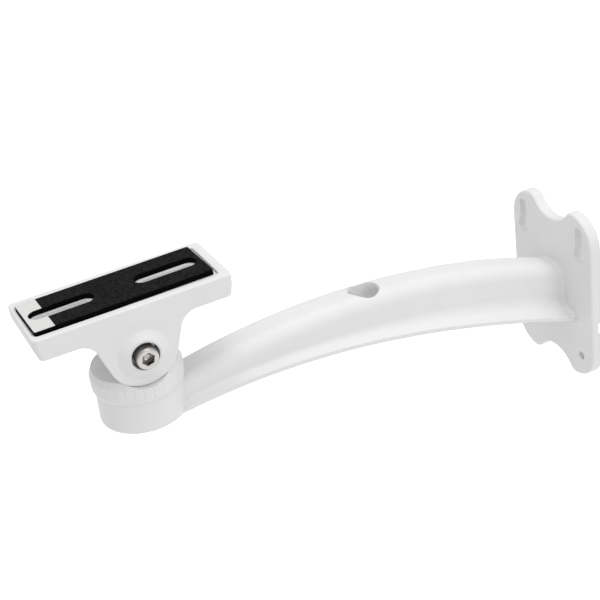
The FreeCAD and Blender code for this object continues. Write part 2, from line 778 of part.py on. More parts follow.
nut_hole = Sketch(head, "nut_pocket_outline", "YZ_Plane", "-nut_floor")
hexagon(nut_hole, "nut_flats + nut_pocket_gap")
doc.recompute()
pocket(head, "counterbore", sunk, Reversed=True)
pocket(head, "ear_bore", through, Midplane=True)
pocket(head, "nut_pocket", nut_hole)

slots = Sketch(head, "deck_slots", "XY_Plane", "recess_floor")
slot_spans = [("slot_near - slot_run / 2", "slot_near + slot_run / 2"),
              ("-slot_far - slot_run / 2", "-slot_far + slot_run / 2")]
for low, high in slot_spans:
    slots.slot("0", low, high, "slot_half")
doc.recompute()
pocket(head, "camera_slots", slots)

# The tray's edges: its rim outside and inside, and the outlines of its underside and ears.
rim_z = value("rim_top")
low_z = value("deck_low")


def in_recess(p):
    """Inside the recess's outline or on it."""
    along = -value("recess_front") - 0.1 < p.y < value("recess_back") + 0.1
    return abs(p.x) < value("recess_half") + 0.1 and along


def on_underside(p):
    """On the outer edge of the tray's underside or of an ear."""
    if p.z > low_z + 0.05 or around(p) < value("boss_base + boss_root_round") + 1.5:
        return False
    on_end = near(p.z, low_z) and (p.y < 1 - tray_ends[0] or p.y > tray_ends[1] - 1)
    by_side = abs(p.x) > value("rim_half - skirt_thick") and around(p) > tray_ends[0] - 2
    return on_side(p) or on_end or (near(p.z, low_z) and by_side)


soften(head, "Fillet", "rim_edge", "outline_round", lambda p: near(p.z, rim_z) and not in_recess(p))
soften(head, "Fillet", "recess_edge", "recess_round", lambda p: near(p.z, rim_z) and in_recess(p))
soften(head, "Fillet", "underside_edge", "outline_round", on_underside)
soften(head, "Fillet", "ear_inner_edges", "ear_inner_round",
       lambda p: near(abs(p.x), value("ear_inner")) and p.z < low_z + 0.05 and around(p) > value("nut_flats"))

# The rubber pad on the tray, and the pale liner on its outer end.
rubber = new_body("rubber_pad", "0", "-reach", "pivot_z")
sheet_sketch = Sketch(rubber, "pad_outline", "XY_Plane", "recess_floor")
sheet_sketch.outline(box("-pad_half", "pad_half", "-pad_front", "pad_back", "pad_corner"))
doc.recompute()
pad(rubber, "pad_sheet", sheet_sketch, "pad_thick")
rubber_slots = Sketch(rubber, "pad_slots_outline", "XY_Plane", "recess_floor")
for low, high in slot_spans:
    rubber_slots.slot("0", low, high, "pad_slot_half")
doc.recompute()
pocket(rubber, "pad_slots", rubber_slots, Midplane=True)
bed = Sketch(rubber, "liner_bed_outline", "XY_Plane", "recess_floor + pad_thick")
bed.outline(box("-pad_half - 1", "pad_half + 1", "-pad_front - 1", "-liner_stop"))
doc.recompute()
pocket(rubber, "liner_bed", bed, "liner_thick")

liner = new_body("pad_liner", "0", "-reach", "pivot_z")
film = Sketch(liner, "liner_outline", "XY_Plane", "recess_floor + pad_thick - liner_thick")
film.outline([("-pad_half", "-pad_front", "pad_corner"), ("pad_half", "-pad_front", "pad_corner"),
              ("pad_half", "-liner_stop"), ("-pad_half", "-liner_stop")])
doc.recompute()
pad(liner, "liner_sheet", film, "liner_thick")
film_slot = Sketch(liner, "liner_slot_outline", "XY_Plane", "recess_floor")
film_slot.slot("0", slot_spans[1][0], slot_spans[1][1], "pad_slot_half")
doc.recompute()
pocket(liner, "liner_slot", film_slot, Midplane=True)


def stand(body, axis, angle):
    """Turn a fastener so that its own Z axis points the way it is fitted."""
    place = body.Placement
    place.Rotation = FreeCAD.Rotation(FreeCAD.Vector(*axis), angle)
    body.Placement = place
    doc.recompute()


def socket_screw(name, where, axis, angle, length):
    """A socket-head cap screw; its head's underside is the body's origin."""
    body = new_body(name, *where)
    profile = Sketch(body, name + "_profile", "XZ_Plane")
    end = "-" + length
    profile.outline([("0", end), ("shank - tip_chamfer", end), ("shank", end + " + tip_chamfer"),
                     ("shank", "0"), ("cap_r", "0"), ("cap_r", "cap_high - cap_edge"),
                     ("cap_r - cap_edge", "cap_high"), ("0", "cap_high")])
    doc.recompute()
    turn(body, name + "_blank", profile, (profile.obj, ["V_Axis"]))
    key = Sketch(body, name + "_key_outline", "XY_Plane", "cap_high")
    hexagon(key, "key_flats")
    doc.recompute()
    pocket(body, name + "_key", key, "key_deep")
    stand(body, axis, angle)


def washer(name, where, axis, angle, radius, thick, split=None):
    """A flat washer, or a spring washer when it is split; it stands on the body's origin."""
    body = new_body(name, *where)
    rings = Sketch(body, name + "_rings", "XY_Plane")
    rings.circle("0", "0", radius).circle("0", "0", "washer_bore")
    doc.recompute()
    pad(body, name + "_ring", rings, thick)
    if split:
        cut = Sketch(body, name + "_split_outline", "XY_Plane")
        cut.outline(box("0", radius + " + 1", "-%s / 2" % split, split + " / 2"))
        doc.recompute()
        pocket(body, name + "_split", cut, Midplane=True)
    stand(body, axis, angle)


# The tilt screw lies along X with its head on the +X side; its nut sits in the other ear.
def tilt(x):
    return x, "-reach", "pivot_z"


washer("tilt_flat_washer", tilt("counterbore_floor"), (0, 1, 0), 90, "flat_washer_r", "flat_washer_thick")
washer("tilt_spring_washer", tilt("tilt_seat"), (0, 1, 0), 90, "spring_washer_r", "spring_washer_thick",
       "spring_washer_split")
socket_screw("tilt_screw", tilt("tilt_head"), (0, 1, 0), 90, "tilt_screw_long")

nut = new_body("tilt_nut", *tilt("-nut_floor"))
six = Sketch(nut, "nut_outline", "XY_Plane")
hexagon(six, "nut_flats", turned=True)
six.circle("0", "0", "seat_bore")
doc.recompute()
pad(nut, "nut_blank", six, "nut_thick")
for name, face, inward in (("nut_chamfer_low", "0", "+"), ("nut_chamfer_high", "nut_thick", "-")):
    corner = Sketch(nut, name + "_profile", "XZ_Plane")
    level = "%s %s nut_flats / 8" % (face, inward)
    corner.outline([("nut_flats / 2", face), ("nut_flats * 0.7", face), ("nut_flats * 0.7", level)])
    doc.recompute()
    apply(nut, "Groove", name, corner, False, ReferenceAxis=(corner.obj, ["V_Axis"]), Angle=360)
stand(nut, (0, 1, 0), -90)

# The pan screw comes up through the cup's floor into the disc.
def pan(z):
    return "0", "-reach", z


washer("pan_flat_washer", pan("pan_seat"), (0, 0, 1), 0, "flat_washer_r", "flat_washer_thick")
washer("pan_spring_washer", pan("pan_head"), (0, 0, 1), 0, "spring_washer_r", "spring_washer_thick",
       "spring_washer_split")
socket_screw("pan_screw", pan("pan_head"), (1, 0, 0), 180, "pan_screw_long")

# Write every body once each object is known to be sound.
doc.recompute()
for item in doc.Objects:
    if "Invalid" in item.State or "Error" in item.State:
        raise RuntimeError("%s is %s" % (item.Name, item.State))
for body in [o for o in doc.Objects if o.TypeId == "PartDesign::Body"]:
    if body.Shape.isNull() or not body.Shape.isValid() or len(body.Shape.Solids) != 1:
        raise RuntimeError("%s is not one sound solid" % body.Label)
    body.Shape.exportStep("parts/%s.step" % body.Label)
    box_now = body.Shape.BoundBox
    print(body.Label, round(body.Shape.Volume), "mm3", box_now)
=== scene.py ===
# %% [markdown]
# # A camera bracket, dressed for its portrait
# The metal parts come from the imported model: a curved cast arm on a wall plate, a swivel base,
# and a tilting tray with a rubber pad. Their shapes are finished, so this lesson is about looks:
# the powder coat, the rubber, the steel, and the small parts that deserve a finer mesh.
# Everything is in metres, in the bracket's own frame: the wall is Y = 0, the arm runs along -Y.

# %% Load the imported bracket
import math

import bmesh
import bpy
from mathutils import Matrix, Vector


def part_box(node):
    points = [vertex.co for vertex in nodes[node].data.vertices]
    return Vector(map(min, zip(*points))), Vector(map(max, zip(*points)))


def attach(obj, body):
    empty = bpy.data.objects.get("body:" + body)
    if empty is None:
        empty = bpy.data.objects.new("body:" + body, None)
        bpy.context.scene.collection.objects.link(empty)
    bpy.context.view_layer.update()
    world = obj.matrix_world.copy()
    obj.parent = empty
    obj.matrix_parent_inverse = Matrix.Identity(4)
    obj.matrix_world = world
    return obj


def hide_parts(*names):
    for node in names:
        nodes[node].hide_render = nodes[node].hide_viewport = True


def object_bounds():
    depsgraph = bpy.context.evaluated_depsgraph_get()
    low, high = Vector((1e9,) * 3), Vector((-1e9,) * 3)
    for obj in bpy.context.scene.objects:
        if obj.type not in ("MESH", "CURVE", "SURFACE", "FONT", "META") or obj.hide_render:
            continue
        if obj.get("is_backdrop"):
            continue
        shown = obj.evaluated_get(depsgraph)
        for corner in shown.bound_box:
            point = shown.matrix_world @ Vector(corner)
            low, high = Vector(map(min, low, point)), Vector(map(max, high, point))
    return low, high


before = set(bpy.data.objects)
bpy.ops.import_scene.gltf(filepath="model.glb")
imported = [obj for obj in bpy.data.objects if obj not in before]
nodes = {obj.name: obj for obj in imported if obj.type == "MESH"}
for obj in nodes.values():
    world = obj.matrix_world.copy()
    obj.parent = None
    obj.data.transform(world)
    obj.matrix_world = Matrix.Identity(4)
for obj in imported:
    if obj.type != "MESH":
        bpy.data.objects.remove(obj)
cad_low, cad_high = (Vector(corner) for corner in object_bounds())
MM = 0.001
print("loaded", len(nodes), "nodes; size in mm", [round(v / MM, 1) for v in cad_high - cad_low])

# %% [markdown]
# ## The camera
# The photograph looks down on the bracket from its right side with a long lens. A camera could be
# aimed by a constraint that tracks a target, but that leaves no room for a lean. Here its three
# axes are worked out from what it looks at, from which side, how high and how far, and a small
# roll then leans the picture as the photograph does.

# %% Place the camera
LOOK_AT = Vector((0, -186.72, 50.22)) * MM
DISTANCE = 754.61 * MM
SIDE, HEIGHT, ROLL = (math.radians(a) for a in (67.70, 28.79, -8.64))
LENS, SENSOR = 76.505, 36

back = Vector((math.sin(SIDE) * math.cos(HEIGHT), -math.cos(SIDE) * math.cos(HEIGHT), math.sin(HEIGHT)))
level = (-back).cross(Vector((0, 0, 1))).normalized()
upright = level.cross(-back)
across = level * math.cos(ROLL) + upright * math.sin(ROLL)
above = upright * math.cos(ROLL) - level * math.sin(ROLL)
facing = Matrix((across, above, back)).transposed().to_4x4()

camera_data = bpy.data.cameras.new("photo_camera")
camera_data.lens = LENS
camera_data.sensor_width = SENSOR
camera = bpy.data.objects.new("photo_camera", camera_data)
bpy.context.scene.collection.objects.link(camera)
camera.matrix_world = Matrix.Translation(LOOK_AT + back * DISTANCE) @ facing
bpy.context.scene.camera = camera
bpy.context.scene.view_settings.view_transform = "Standard"
print("camera at", [round(v, 3) for v in camera.matrix_world.translation])

# %% [markdown]
# ## Small helpers for shader nodes
# A material is a graph of nodes. It could be drawn by hand in the shader editor, but a script can
# be read, changed and run again. Adding a node, joining two sockets and doing a sum happen so
# often that each gets a short function, and so do opening a node group and placing it.

# %% Helpers for node graphs
def add(tree, kind, **settings):
    """Add a shader node; settings named after its sockets fill them in, the rest are properties."""
    node = tree.nodes.new("ShaderNode" + kind)
    for key, setting in settings.items():
        if key in node.inputs:
            node.inputs[key].default_value = setting
        else:
            setattr(node, key, setting)
    return node


def join(tree, source, target):
    """Link an output socket to an input socket."""
    tree.links.new(source, target)


def calculate(tree, operation, *terms):
    """The output of a Math node whose terms are numbers or other nodes' outputs."""
    node = add(tree, "Math", operation=operation)
    for term, target in zip(terms, node.inputs):
        if isinstance(term, (int, float)):
            target.default_value = term
        else:
            join(tree, term, target)
    return node.outputs[0]


# %% Helpers for node groups
def start_group(name, inputs, outputs):
    """A group with float inputs {name: value} and outputs {name: type}, and its two end nodes."""
    group = bpy.data.node_groups.new(name, "ShaderNodeTree")
    for label, setting in inputs.items():
        socket = group.interface.new_socket(name=label, in_out="INPUT", socket_type="NodeSocketFloat")
        socket.default_value = setting
    for label, kind in outputs.items():
        group.interface.new_socket(name=label, in_out="OUTPUT", socket_type="NodeSocket" + kind)
    return group, group.nodes.new("NodeGroupInput"), group.nodes.new("NodeGroupOutput")


def place_group(tree, group, values):
    """Put a group into a material with its own values {name: value}."""
    node = add(tree, "Group", node_tree=group)
    for label, setting in values.items():
        node.inputs[label].default_value = setting
    return node


# %% [markdown]
# ## Grain, used by every finish
# Powder coat dries with a fine orange-peel skin, rubber has a pebbled one, and film is slightly
# uneven. A picture could be wrapped round each part for this, but it would need unwrapping and
# would repeat. Noise needs neither. It is used at two sizes: small bumps, and larger patches where
# the tone and the gloss drift a little. One group makes both, and each finish chooses its values.

# %% Build the grain group
grain, grain_in, grain_out = start_group(
    "grain",
    {"Bump size": 0.0008, "Patch size": 0.03, "Tone spread": 0.03, "Gloss": 0.5, "Gloss spread": 0.1},
    {"Tone": "Float", "Roughness": "Float", "Height": "Float"})


def noise_of_size(tree, coordinates, size, detail):
    """Noise whose bumps are about `size` metres across."""
    noise = add(tree, "TexNoise", Detail=detail, Roughness=0.55)
    join(tree, calculate(tree, "DIVIDE", 1, size), noise.inputs["Scale"])
    join(tree, coordinates, noise.inputs["Vector"])
    return noise.outputs["Fac"]


def spread_about(tree, noise, middle, spread):
    """Turn noise in 0..1 into middle plus or minus spread."""
    centred = calculate(tree, "MULTIPLY_ADD", noise, 2, -1)
    return calculate(tree, "MULTIPLY_ADD", centred, spread, middle)


where = add(grain, "TexCoord").outputs["Object"]
bumps = noise_of_size(grain, where, grain_in.outputs["Bump size"], detail=3)
patches = noise_of_size(grain, where, grain_in.outputs["Patch size"], detail=2)
uneven_tone = spread_about(grain, patches, 1, grain_in.outputs["Tone spread"])
uneven_gloss = spread_about(grain, patches, grain_in.outputs["Gloss"], grain_in.outputs["Gloss spread"])
join(grain, uneven_tone, grain_out.inputs["Tone"])
join(grain, uneven_gloss, grain_out.inputs["Roughness"])
join(grain, bumps, grain_out.inputs["Height"])
print("group", grain.name, "with", len(grain.nodes), "nodes")

# %% [markdown]
# ## Edges, used by every finish
# No real edge is perfectly sharp, and light catches it. Bevelled meshes
# would show that, but the castings' meshes are finished. The Bevel node only bends the normal near
# an edge, as if it were rounded. Where the bent normal and the true one differ, there is an edge,
# and that difference is the mask along which each finish paints its edges paler as a highlight or darker
# as shade.

# %% Build the edge group
FULL_EDGE_LIKENESS = 0.75

edges, edges_in, edges_out = start_group("soft_edges_and_painted_edge_light", {"Width": 0.0005, "Amount": 1.0},
                                         {"Mask": "Float", "Normal": "Vector"})
rounded = add(edges, "Bevel", samples=4)
join(edges, edges_in.outputs["Width"], rounded.inputs["Radius"])
true_normal = add(edges, "NewGeometry")
likeness = add(edges, "VectorMath", operation="DOT_PRODUCT")
join(edges, rounded.outputs["Normal"], likeness.inputs[0])
join(edges, true_normal.outputs["Normal"], likeness.inputs[1])
contrast = add(edges, "MapRange", **{"From Min": 1.0, "From Max": FULL_EDGE_LIKENESS})
join(edges, likeness.outputs["Value"], contrast.inputs["Value"])
# This mask is where edges get a painted highlight or painted shade.
painted_edge_mask = calculate(edges, "MULTIPLY", contrast.outputs["Result"], edges_in.outputs["Amount"])
join(edges, painted_edge_mask, edges_out.inputs["Mask"])
join(edges, rounded.outputs["Normal"], edges_out.inputs["Normal"])
print("group", edges.name, "with", len(edges.nodes), "nodes")

# %% [markdown]
# ## One recipe for every finish
# Paint, rubber, film and steel differ in their values, not in how they are built. Each could be a
# graph of its own, but one recipe keeps them short and alike: the grain moves the tone, the gloss
# and the bumps, and the edge mask paints the edges in another colour, as a painted highlight or painted
# shade. The shader itself stays in the material.

# %% Assemble a finish from the two groups
def finish(name, colour, painted_edge_tone, grain_values, edge_values, bump_depth, **shader_values):
    """A material of toned colour, edges painted paler as highlight or darker as shade, uneven gloss and
    fine bumps. Its grain and its Bump node are given back too, for a finish that adds to them."""
    material = bpy.data.materials.new(name)
    material.use_nodes = True
    tree = material.node_tree
    tree.nodes.clear()
    output = add(tree, "OutputMaterial")
    shader = add(tree, "BsdfPrincipled", **shader_values)
    skin = place_group(tree, grain, grain_values)
    edge = place_group(tree, edges, edge_values)
    toned = add(tree, "VectorMath", operation="SCALE")
    toned.inputs[0].default_value = colour
    join(tree, skin.outputs["Tone"], toned.inputs["Scale"])
    # Edges take the painted edge tone: a painted highlight where it is paler, painted shade where darker.
    edge_painted = add(tree, "MixRGB", Color2=(*painted_edge_tone, 1))
    join(tree, edge.outputs["Mask"], edge_painted.inputs["Fac"])
    join(tree, toned.outputs["Vector"], edge_painted.inputs["Color1"])
    join(tree, edge_painted.outputs["Color"], shader.inputs["Base Color"])
    join(tree, skin.outputs["Roughness"], shader.inputs["Roughness"])
    bump = add(tree, "Bump", Distance=bump_depth, Strength=1.0)
    join(tree, skin.outputs["Height"], bump.inputs["Height"])
    join(tree, edge.outputs["Normal"], bump.inputs["Normal"])
    join(tree, bump.outputs["Normal"], shader.inputs["Normal"])
    join(tree, shader.outputs["BSDF"], output.inputs["Surface"])
    return material, skin, bump


# %% [markdown]
# ## White powder coat
# The three castings share one coat: a neutral white, half matt, with a skin so fine that only a
# close look shows it. One flat white would do from afar, but baked powder drifts a little in tone,
# and the edges are painted a shade lighter as a highlight.

# %% Make the powder coat
# Its edge tone, paler than the coat, is a painted highlight.
powder_coat, *_ = finish(
    "white_powder_coat", colour=(0.80, 0.80, 0.80), painted_edge_tone=(0.86, 0.86, 0.86),
    grain_values={"Bump size": 0.0009, "Patch size": 0.03, "Tone spread": 0.03,
                  "Gloss": 0.46, "Gloss spread": 0.08},
    edge_values={"Width": 0.0006, "Amount": 0.5}, bump_depth=0.0002)
print("made", powder_coat.name)

# %% [markdown]
# ## Black rubber
# The pad keeps a camera from slipping. Sheet rubber is dark rather than black, hardly glossy, and
# mottled in patches of about two millimetres over a finer pebble. The rims of the top are painted
# darker as shade, and the steep sides get a second, much darker copy of the rubber as painted shade.

# %% Make the rubber
rubber, *_ = finish(
    "black_pebbled_rubber", colour=(0.0108, 0.0102, 0.0102), painted_edge_tone=(0.004, 0.004, 0.004),
    grain_values={"Bump size": 0.0007, "Patch size": 0.0018, "Tone spread": 2.2,
                  "Gloss": 0.62, "Gloss spread": 0.15},
    edge_values={"Width": 0.0003, "Amount": 0.5}, bump_depth=0.0003, **{"Specular IOR Level": 0.03})
# A much darker copy of the rubber for the pad's steep sides: painted shade.
shaded_side_rubber, *_ = finish(
    "rubber_side_painted_shade", colour=(0.0022, 0.0021, 0.0021), painted_edge_tone=(0.004, 0.004, 0.004),
    grain_values={"Bump size": 0.0012, "Patch size": 0.004, "Tone spread": 0.8,
                  "Gloss": 0.55, "Gloss spread": 0.1},
    edge_values={"Width": 0.0003, "Amount": 0.3}, bump_depth=0.0001, **{"Specular IOR Level": 0.03})
print("made", rubber.name, "and", shaded_side_rubber.name)

# %% [markdown]
# ## Pale backing film
# A strip of the pad's backing film is still on its outer end. It could be see-through, but in the
# photograph it hides the rubber, so it is an opaque thin plastic: smooth, a bit glossier than the
# paint, with faint ripples where it was pressed down by hand.

# %% Make the film
# Its edge tone, paler than the film, is a painted highlight.
film, *_ = finish(
    "pale_backing_film", colour=(0.70, 0.695, 0.685), painted_edge_tone=(0.86, 0.86, 0.86),
    grain_values={"Bump size": 0.004, "Patch size": 0.01, "Tone spread": 0.02,
                  "Gloss": 0.42, "Gloss spread": 0.08},
    edge_values={"Width": 0.0001, "Amount": 0.2}, bump_depth=0.00008)
print("made", film.name)

# %% [markdown]
# ## Zinc-plated steel
# The screws, nut and washers are bright zinc over turned or stamped steel. Metal shows its making
# through how it reflects. An anisotropic shader could stretch the reflections, but rings of fine
# bumps do it too and can be baked. They come from the distance to a part's own axis, which differs
# between the tilt screw and the pan screw. The knurl and the key's socket are painted dark as shade,
# and so are the tilt screw's washers.

# %% Make the steel
RING_PITCH = 0.0002
# The knurl's and the socket's steels are dark as painted shade.
STEELS = {"turned_steel": {"colour": (0.50, 0.488, 0.475), "gloss": 0.3},
          "knurl_painted_shade": {"colour": (0.36, 0.355, 0.345), "gloss": 0.38},
          "socket_painted_shade": {"colour": (0.08, 0.079, 0.076), "gloss": 0.09}}


def steel(name, axis, centre, colour, gloss):
    """Steel whose fine turning rings run round one axis through a centre."""
    # Its edge tone, paler than most of the steel, is a painted highlight.
    material, skin, bump = finish(
        name, colour, painted_edge_tone=(0.72, 0.71, 0.69),
        grain_values={"Bump size": 0.0003, "Patch size": 0.004, "Tone spread": 0.10,
                      "Gloss": gloss, "Gloss spread": 0.08},
        edge_values={"Width": 0.0003, "Amount": 0.6}, bump_depth=0.00001, Metallic=1.0)
    tree = material.node_tree
    place = add(tree, "TexCoord")
    shift = add(tree, "VectorMath", operation="SUBTRACT")
    join(tree, place.outputs["Object"], shift.inputs[0])
    shift.inputs[1].default_value = centre
    flatten = add(tree, "VectorMath", operation="MULTIPLY")
    join(tree, shift.outputs["Vector"], flatten.inputs[0])
    flatten.inputs[1].default_value = [float(letter != axis) for letter in "XYZ"]
    radius = add(tree, "VectorMath", operation="LENGTH")
    join(tree, flatten.outputs["Vector"], radius.inputs[0])
    rings = add(tree, "TexNoise", noise_dimensions="1D", Detail=2.0, Scale=1 / RING_PITCH)
    join(tree, radius.outputs["Value"], rings.inputs["W"])
    ringed = calculate(tree, "ADD", rings.outputs["Fac"], skin.outputs["Height"])
    join(tree, ringed, bump.inputs["Height"])
    return material


def screw_steels(screw, axis, centre):
    """One screw's bright steel, its knurl painted dark as shade and its socket painted dark as shade, in
    the order of STEELS.
    """
    return [steel(f"{kind}_{screw}", axis, centre, **look) for kind, look in STEELS.items()]


def box_middle(node):
    """The middle of a node's box at rest."""
    low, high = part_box(node)
    return (Vector(low) + Vector(high)) / 2


tilt_centre = box_middle("tilt_screw")
pan_centre = box_middle("pan_screw")
tilt_steels = screw_steels("tilt", "X", tilt_centre)
pan_steels = screw_steels("pan", "Z", pan_centre)
print("tilt axis passes", [round(v / MM, 2) for v in tilt_centre])

# %% [markdown]
# ## Parts that keep their mesh
# The castings, the nut and the washers are already as fine as the photograph shows, so a new mesh
# would add nothing. They only take a finish, and a table from part to finish is the shortest way.

# %% Give every carried-over part its finish
tilt_bright, tilt_shade_steel, _ = tilt_steels
pan_bright = pan_steels[0]
# The tilt screw's washers take the knurl's dark steel: painted shade in the gap round the head.
FINISH_OF = {"arm_casting": powder_coat, "swivel_base": powder_coat, "camera_head": powder_coat,
             "tilt_nut": tilt_bright, "tilt_flat_washer": tilt_shade_steel, "tilt_spring_washer": tilt_shade_steel,
             "pan_flat_washer": pan_bright, "pan_spring_washer": pan_bright}
for node_name, material in FINISH_OF.items():
    node = nodes[node_name]
    node.data.materials.clear()
    node.data.materials.append(material)
print("finished", len(FINISH_OF), "parts")

# %% [markdown]
# ## Socket screws
# A socket cap screw is turned, knurled and threaded. It could be cut from a cylinder with boolean
# modifiers, but those leave slivers. Head and shank are skins round one axis, so the mesh is a
# stack of rings whose radius may change with the angle: the knurl is a ripple round the head, the
# thread is a ripple that moves on with the height, and the key's socket is six flats.

# %% Helper: put a finished shape into the scene
def put_piece(name, mesh, finishes, body, stands_for, crease=35):
    """A piece with its finishes, smooth except at creases, riding on a body in place of a node."""
    for material in finishes:
        mesh.materials.append(material)
    for face in mesh.polygons:
        face.use_smooth = True
    mesh.set_sharp_from_angle(angle=math.radians(crease))
    piece = bpy.data.objects.new(name, mesh)
    bpy.context.scene.collection.objects.link(piece)
    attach(piece, body)
    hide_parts(stands_for)
    print(name, "has", len(mesh.polygons), "faces")


# %% Helper: a skin over a stack of rings
FACE, KNURL, SOCKET = range(len(STEELS))


def stack_rings(shape, rings, steps):
    """A skin over rings (height, radius, finish) in millimetres, open at both ends; it gives its end
    rings back, and a radius may be a function of angle and height."""
    rows = []
    for height, radius, _ in rings:
        row = []
        for k in range(steps):
            angle = math.tau * k / steps
            reach = radius(angle, height) if callable(radius) else radius
            row.append(shape.verts.new((reach * math.cos(angle), reach * math.sin(angle), height)))
        rows.append(row)
    for (_, _, steel_index), low, high in zip(rings, rows, rows[1:]):
        for k in range(steps):
            after = (k + 1) % steps
            face = shape.faces.new((low[k], low[after], high[after], high[k]))
            face.material_index = steel_index
    return rows[0], rows[-1]


# %% [markdown]
# ## The screw's head
# From the underside up, the head has a chamfered foot, straight ridges for the fingers, a rounded
# rim and a flat face. Inside it are the six flats of the key's socket, and below them a drilled
# hole with the drill's point. A picture of ridges would vanish at the head's outline, so they are
# real: each form is a few rings, and six points to a ridge keep the knurl crisp.

# %% The head: knurled side, rounded rim, flat face and punched socket
HEAD_R, HEAD_HIGH = 6.5, 8.0
FOOT_R, CHAMFER_R = 6.05, 6.25
KNURL_LOW, KNURL_TOP = 0.6, 6.9
RIDGES, RIDGE_HIGH = 56, 0.26
HEAD_STEPS = 6 * RIDGES
RIM = ((7.15, 6.24), (7.4, 6.22), (7.7, 6.08), (7.9, 5.82), (HEAD_HIGH, 5.45))
MOUTH_R, MOUTH_DEEP = 4.05, 0.15
KEY_HALF, KEY_DEPTH, KEY_TURN = 3.4, 3.6, math.radians(45)
DRILL_R, DRILL_DEEP, POINT_DEEP = 2.5, 0.7, 1.5
key_floor = HEAD_HIGH - KEY_DEPTH
drill_floor = key_floor - DRILL_DEEP


def knurl(angle, height):
    """The head's radius: pointed ridges about a quarter of a millimetre high."""
    share = angle * RIDGES / math.tau % 1
    return HEAD_R - RIDGE_HIGH * abs(2 * share - 1)


def key_flats(angle, height):
    """The radius of a hexagon, turned as the key was left."""
    turn = (angle - KEY_TURN) % (math.pi / 3) - math.pi / 6
    return KEY_HALF / math.cos(turn)


# The knurl and the socket walls take the steels painted dark as shade.
HEAD_RINGS = (
    [(0, FOOT_R, KNURL), (KNURL_LOW / 2, CHAMFER_R, KNURL),
     (KNURL_LOW, knurl, KNURL), (KNURL_TOP, knurl, KNURL)]
    + [(height, radius, FACE) for height, radius in RIM]
    + [(HEAD_HIGH, MOUTH_R, FACE), (HEAD_HIGH - MOUTH_DEEP, key_flats, SOCKET),
       (key_floor, key_flats, FACE), (key_floor, DRILL_R, SOCKET), (drill_floor, DRILL_R, FACE)])
print("head of", len(HEAD_RINGS), "rings with", HEAD_STEPS, "points each")

# %% [markdown]
# ## The screw's shank
# The shank starts plain below the head and ends in a chamfered tip. A screw modifier could sweep
# the thread, but its ends would hang loose. As a ripple in the radius, the thread fades into the
# plain part, and the skin stays whole. Crest, flanks and root take their shares of each turn.

# %% The shank: plain, then threaded, with a chamfered tip
SHANK_R, PITCH, THREAD_DEEP = 4.0, 1.25, 0.7
CREST_SHARE, FLANK_SHARE = 0.12, 0.66
TIP_CHAMFER = 0.9
RINGS_A_TURN = 8
FAN = 8
SHANK_STEPS = HEAD_STEPS // FAN


def shank_rings(length, plain):
    """Rings from the tip, at minus the length, up to the head's underside."""
    def thread(angle, height):
        phase = (height / PITCH - angle / math.tau) % 1
        flank = min(max((abs(2 * phase - 1) - CREST_SHARE) / FLANK_SHARE, 0), 1)
        fade = min(max((-plain - height) / PITCH, 0), 1)
        tip = max(TIP_CHAMFER - (height + length), 0)
        return SHANK_R - max(THREAD_DEEP * flank * fade, tip)

    count = round((length - plain) / PITCH * RINGS_A_TURN)
    heights = [-length + (length - plain) * k / count for k in range(count + 1)]
    return [(height, thread, FACE) for height in heights] + [(0, SHANK_R, FACE)]


print("shank of", SHANK_STEPS, "points a ring, one for every", FAN, "of the head's")

# %% [markdown]
# ## Both screws
# The tilt screw goes through the ears with its head on the near side, and the pan screw goes up
# through the cup with its head down. Head and shank could be two closed shapes that overlap, but
# then faces would hide inside. The tip, the drill's point and the underside close them into one.

# %% Make both screws
def socket_screw(name, seat, turned, length, plain, finishes, body):
    """A screw whose head rests on a seat point; turned is its matrix, with the head towards local z.
    Its shank is plain for the given stretch, and then threaded."""
    shape = bmesh.new()
    underside, drill_rim = stack_rings(shape, HEAD_RINGS, HEAD_STEPS)
    tip, neck = stack_rings(shape, shank_rings(length, plain), SHANK_STEPS)
    shape.faces.new(tip[::-1])
    drill_point = shape.verts.new((0, 0, drill_floor - POINT_DEEP))
    for k in range(HEAD_STEPS):
        shape.faces.new((drill_rim[k], drill_rim[(k + 1) % HEAD_STEPS], drill_point)).material_index = FACE
    for k in range(SHANK_STEPS):
        outer = [underside[(k * FAN + i) % HEAD_STEPS] for i in range(FAN, -1, -1)]
        shape.faces.new([neck[k], neck[(k + 1) % SHANK_STEPS]] + outer).material_index = KNURL
    place = Matrix.Translation(seat) @ turned.to_4x4() @ Matrix.Scale(MM, 4)
    bmesh.ops.transform(shape, matrix=place, verts=shape.verts)
    mesh = bpy.data.meshes.new(name + "_mesh")
    shape.to_mesh(mesh)
    shape.free()
    put_piece(name, mesh, finishes, body, name.replace("knurled_", ""), crease=28)


HEAD_TO_X = Matrix(((0, 0, 1), (0, 1, 0), (-1, 0, 0)))
HEAD_DOWN = Matrix(((1, 0, 0), (0, -1, 0), (0, 0, -1)))
tilt_low, tilt_high = (Vector(corner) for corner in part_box("tilt_screw"))
pan_low, pan_high = (Vector(corner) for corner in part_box("pan_screw"))
tilt_seat = Vector((tilt_high.x - HEAD_HIGH * MM, tilt_centre.y, tilt_centre.z))
pan_seat = Vector((pan_centre.x, pan_centre.y, pan_low.z + HEAD_HIGH * MM))
socket_screw("knurled_tilt_screw", tilt_seat, HEAD_TO_X, length=(tilt_seat.x - tilt_low.x) / MM, plain=30,
             finishes=tilt_steels, body="head")
socket_screw("knurled_pan_screw", pan_seat, HEAD_DOWN, length=(pan_high.z - pan_seat.z) / MM, plain=2,
             finishes=pan_steels, body="swivel")

# %% [markdown]
# ## Rubber pad
# The pad is stamped from sheet, so it is one flat outline with two slots, as thick all over. A
# mesh would need a careful bevel round its rims. A flat curve fills such an outline, holes and
# all, and rounds its edges by itself, so the pad starts as a curve and only then becomes a mesh.

# %% Helper: outlines of straight runs and round ends
def arc(x, y, radius, start, stop, steps=12):
    """Points in millimetres on an arc round (x, y), angles in degrees."""
    angles = [math.radians(start + (stop - start) * k / steps) for k in range(steps + 1)]
    return [(x + radius * math.cos(a), y + radius * math.sin(a)) for a in angles]


